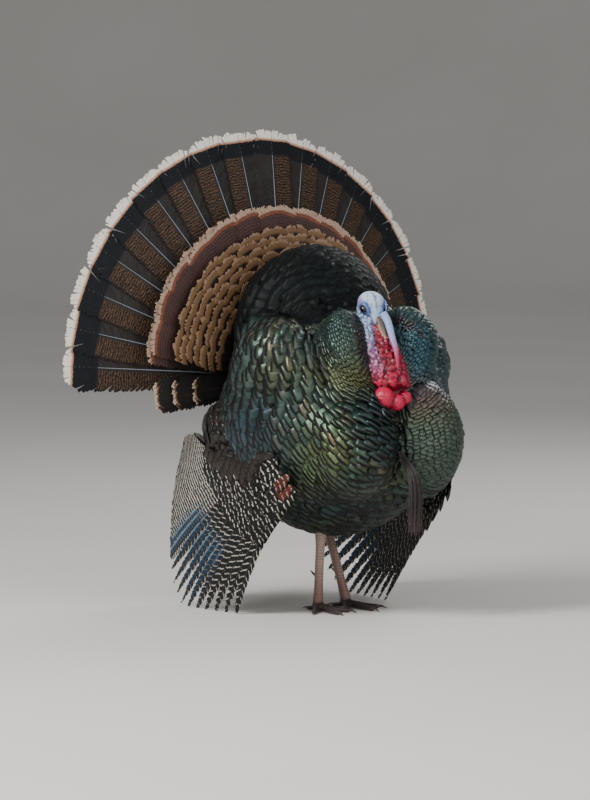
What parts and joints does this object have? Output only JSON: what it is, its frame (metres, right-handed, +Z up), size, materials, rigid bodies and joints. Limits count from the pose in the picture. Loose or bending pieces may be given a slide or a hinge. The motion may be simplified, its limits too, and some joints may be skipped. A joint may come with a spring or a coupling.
{
  "type": "wild turkey",
  "caption": "Life-size male wild turkey in full strut: tail fan raised, wings drooped to the floor, body feathers puffed, head drawn back over red wattles and a beard.",
  "frame": {"origin": "on the floor, under the middle of the whole bird's box", "axes": "+Z up, the bird faces -Y, its left side is +X"},
  "size_m": [0.8322, 0.5536, 0.8352],
  "materials": {
    "body_feathers": "dark feathers with a green and bronze metallic sheen and black edges",
    "head_skin": "bare wrinkled skin, white on the crown and pale blue on the face",
    "eye": "wet dark brown eye",
    "bill_horn": "horn, tan with a darker ridge",
    "red_skin": "soft bare skin in swollen nodules, red to pale lilac",
    "beard_bristle": "coarse grey-brown bristles",
    "tail_quills": "brown quill feathers with fine black bars, a black band and a cream tip",
    "tail_coverts": "buff and chestnut feathers with cream tips",
    "wing_coverts": "bronze and black feathers with pale bars",
    "wing_quills": "blackish quill feathers with white bars",
    "leg_scales": "scaled skin, pinkish brown",
    "claw_horn": "dark horn"
  },
  "bodies": {
    "root": {"trunk": "body_feathers", "head": "head_skin", "eye_right": "eye", "eye_left": "eye", "bill_upper": "bill_horn", "bill_lower": "bill_horn", "neck": "head_skin", "throat": "red_skin", "snood": "red_skin", "caruncle_right": "red_skin", "caruncle_middle": "red_skin", "caruncle_left": "red_skin", "beard": "beard_bristle", "tail_fan": "tail_quills", "tail_coverts": "tail_coverts", "wing_right": "wing_coverts", "primaries_right": "wing_quills", "undertail_right": "tail_quills", "leg_right": "leg_scales", "foot_right": "leg_scales", "spur_right": "claw_horn", "claw_right_middle": "claw_horn", "claw_right_inner": "claw_horn", "claw_right_outer": "claw_horn", "claw_right_hind": "claw_horn", "wing_left": "wing_coverts", "primaries_left": "wing_quills", "undertail_left": "tail_quills", "leg_left": "leg_scales", "foot_left": "leg_scales", "spur_left": "claw_horn", "claw_left_middle": "claw_horn", "claw_left_inner": "claw_horn", "claw_left_outer": "claw_horn", "claw_left_hind": "claw_horn"}
  },
  "joints": []
}
